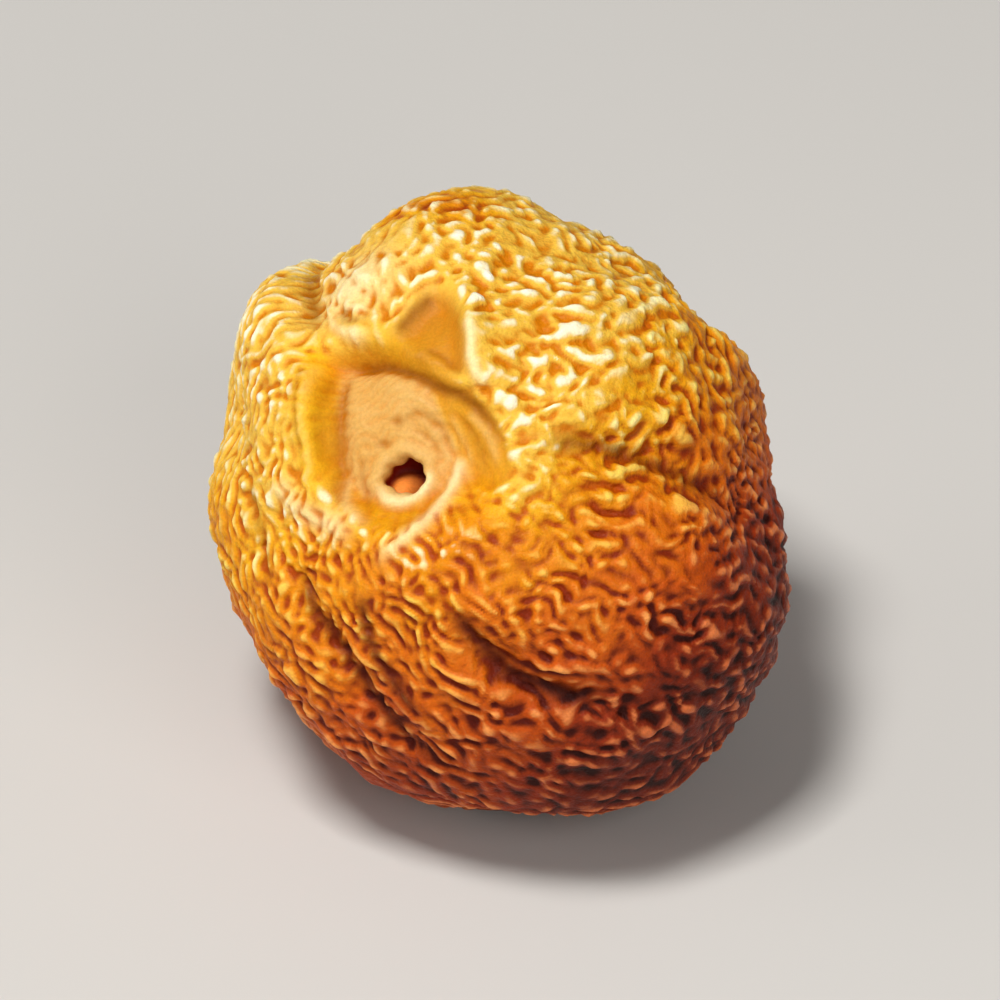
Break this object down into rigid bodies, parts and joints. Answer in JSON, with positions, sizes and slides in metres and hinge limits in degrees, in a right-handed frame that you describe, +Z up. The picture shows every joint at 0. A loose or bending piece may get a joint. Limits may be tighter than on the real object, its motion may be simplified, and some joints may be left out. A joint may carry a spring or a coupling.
{
  "type": "dried apricot",
  "caption": "Whole dried apricot, shrivelled on its stone: a puckered round fruit with a sunken stem scar and a suture, lying on one cheek on a small flat.",
  "frame": {"origin": "the middle of the underside, on the surface that the fruit lies on", "axes": "+Z up; the stem end is raised about 40 degrees and faces -Y, turned about 31 degrees towards -X; +X is to the right of someone who looks along +Y"},
  "size_m": [0.027, 0.029, 0.0269],
  "materials": {
    "dried_skin": "satin, puckered dried skin: yellow round the stem, rust red on the sunny cheek"
  },
  "bodies": {
    "root": {"apricot": "dried_skin"}
  },
  "joints": []
}
